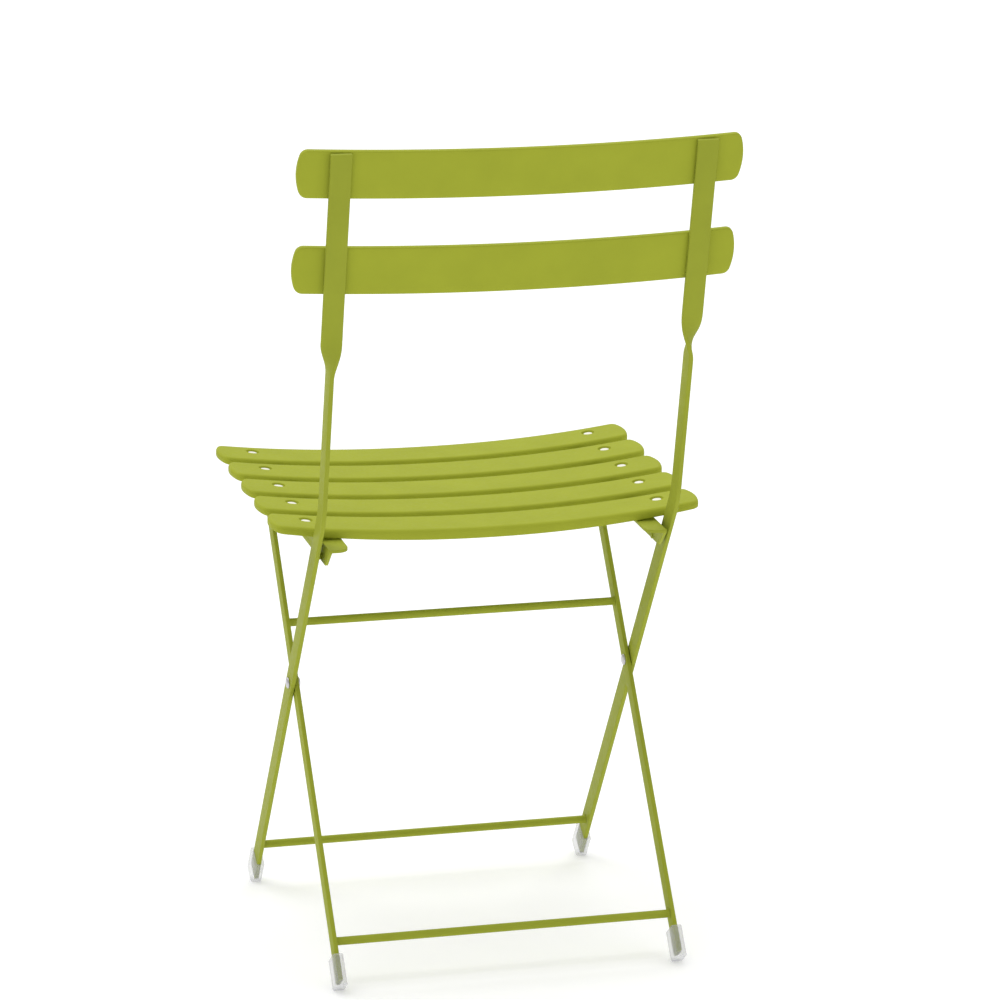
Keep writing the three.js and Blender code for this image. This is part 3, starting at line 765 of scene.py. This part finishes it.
def add_rods():
    """Drawn rods with a small weld fillet where they meet the bars."""
    steps = 6
    for node in ("front_crossbar", "rear_crossbar", "spreader_bar"):
        end = []
        for i in range(steps + 1):
            angle = math.pi / 2 * (1 - i / steps)
            flare = WELD_SIZE * (1 - math.sin(angle))
            height = half_length(node) - WELD_REACH * (1 - math.cos(angle))
            end.append((ROD_RADIUS + flare, height))
        add_piece(node, *lathe(both_ends(end), ALONG_X))


def add_rivets():
    """Rivets with a low domed head at each end."""
    for stem in ("cross_rivet", "seat_hinge_rivet"):
        for side, _ in SIDES:
            node = f"{stem}_{side}"
            grip = half_length(node) - RIVET_HEAD_HEIGHT
            head = [(RIVET_RADIUS, grip)]
            for radius, height in dome(RIVET_HEAD_RADIUS, RIVET_HEAD_HEIGHT):
                head.append((radius, grip + height))
            add_piece(node, *lathe(both_ends(head), ALONG_X), 40)


def add_pins():
    """Short pins with rounded ends."""
    steps = 4
    for side, _ in SIDES:
        node = f"seat_rest_pin_{side}"
        end = []
        for i in range(steps + 1):
            angle = math.pi / 2 * i / steps
            radius = PIN_RADIUS - PIN_ROUNDING * (1 - math.cos(angle))
            end.append((radius, half_length(node) - PIN_ROUNDING * (1 - math.sin(angle))))
        add_piece(node, *lathe(both_ends(end), ALONG_X), 40)


def add_plugs():
    """A low domed head in the dimple, a stem through the sheet and a collar under it.
    Heights are from the top of the slat."""
    stem = PLUG_HOLE_RADIUS - GAP
    collar = PLUG_HEAD_RADIUS
    collar_top = -DIMPLE_DEPTH - SEAT_SLAT_SHEET - GAP
    bottom = collar_top - PLUG_COLLAR_DEPTH
    head = -DIMPLE_DEPTH + GAP
    near_middle = 0.1
    profile = [
        (near_middle, bottom),
        (collar - PLUG_ROUNDING, bottom),
        (collar, bottom + PLUG_ROUNDING),
        (collar, collar_top),
        (stem, collar_top),
        (stem, head),
    ]
    for radius, height in dome(PLUG_HEAD_RADIUS, PLUG_HEAD_HEIGHT):
        profile.append((radius, head + height))
    slope = math.atan(SEAT_SLAT["power"] * slat_rise(SEAT_SLAT, DIMPLE_X) / DIMPLE_X)
    for side, sign in SIDES:
        turn = Matrix.Rotation(SEAT_TILT, 4, "X") @ Matrix.Rotation(-sign * slope, 4, "Y")
        for number in range(1, SEAT_SLAT_COUNT + 1):
            add_piece(f"slat_plug_{number}_{side}", *lathe(profile, turn), 40)


# ---- rails and boots -------------------------------------------------------------


def softened(node, width):
    """A copy of a CAD node's shape with its flat faces made whole and every sharp
    edge rounded by this width, in millimetres."""
    same_point = 2e-6
    flat_angle = math.radians(1.5)
    sharp_angle = math.radians(25)
    shape = bmesh.new()
    shape.from_mesh(frame["nodes"][node].data)
    bmesh.ops.remove_doubles(shape, verts=shape.verts, dist=same_point)
    bmesh.ops.dissolve_limit(
        shape, angle_limit=flat_angle, verts=shape.verts, edges=shape.edges,
    )
    whole = [edge for edge in shape.edges if len(edge.link_faces) == 2]
    sharp = [edge for edge in whole if edge.calc_face_angle() > sharp_angle]
    bmesh.ops.bevel(
        shape, geom=sharp, offset=width * MM, offset_type="OFFSET", segments=3,
        profile=0.5, affect="EDGES", clamp_overlap=True,
    )
    bmesh.ops.recalc_face_normals(shape, faces=shape.faces)
    mesh = bpy.data.meshes.new(node + "_fine")
    shape.to_mesh(mesh)
    shape.free()
    return finish_piece(node + "_fine", node, mesh, 40)


def add_rails():
    for side, _ in SIDES:
        softened(f"seat_rail_{side}", RAIL_EDGE)


def add_boots():
    for end in ("front", "rear"):
        for side, _ in SIDES:
            softened(f"{end}_boot_{side}", BOOT_EDGE)


# ---- floor, light and camera -----------------------------------------------------


def add_floor():
    """A pale floor, glowing faintly so that shadows on it stay light."""
    reach = 30                  # metres
    mesh = bpy.data.meshes.new("studio_floor")
    corners = [(-reach, -reach, 0), (reach, -reach, 0), (reach, reach, 0), (-reach, reach, 0)]
    mesh.from_pydata(corners, [], [(0, 1, 2, 3)])
    floor = bpy.data.objects.new("studio_floor", mesh)
    bpy.context.scene.collection.objects.link(floor)
    material, tree, shader = new_material("pale_floor")
    clouds = object_noise(tree, 3, 2)
    tree.links.new(
        two_tone(tree, clouds, (0.91, 0.91, 0.92), (0.93, 0.93, 0.94)), shader.inputs["Base Color"],
    )
    shader.inputs["Roughness"].default_value = 0.9
    shader.inputs["Specular IOR Level"].default_value = 0.1
    shader.inputs["Emission Color"].default_value = (1, 1, 1, 1)
    shader.inputs["Emission Strength"].default_value = 0.15
    mesh.materials.append(material)


def add_lights():
    """An even white room, and a broad soft light from overhead and a little in front."""
    world = bpy.data.worlds.new("studio")
    world.use_nodes = True
    background = world.node_tree.nodes["Background"]
    background.inputs["Color"].default_value = (1, 1, 1, 1)
    background.inputs["Strength"].default_value = 0.56
    bpy.context.scene.world = world
    lamp = bpy.data.lights.new("overhead", "SUN")
    lamp.energy = 1.95
    lamp.angle = math.radians(80)
    light = bpy.data.objects.new("overhead", lamp)
    light.rotation_euler = (math.radians(20), math.radians(4), 0)
    bpy.context.scene.collection.objects.link(light)


def add_camera():
    """Behind the chair and to the sitter's left, looking slightly down."""
    camera = bpy.data.cameras.new("camera")
    camera.lens = 168.75
    camera.sensor_width = 36
    view = bpy.data.objects.new("camera", camera)
    view.location = (1.11359, 4.28589, 1.46313)
    yaw = math.radians(194.957)
    pitch = math.radians(-13.076)
    direction = Vector((
        math.sin(yaw) * math.cos(pitch), math.cos(yaw) * math.cos(pitch), math.sin(pitch),
    ))
    view.rotation_euler = direction.to_track_quat("-Z", "Y").to_euler()
    bpy.context.scene.collection.objects.link(view)
    bpy.context.scene.camera = view


# ---- the scene -------------------------------------------------------------------

add_floor()
add_lights()
add_camera()
add_uprights()
add_legs()
add_rods()
add_rivets()
add_pins()
add_seat_slats()
add_plugs()
add_back_slats()
add_rails()
add_boots()
bpy.context.scene.view_settings.view_transform = "Standard"
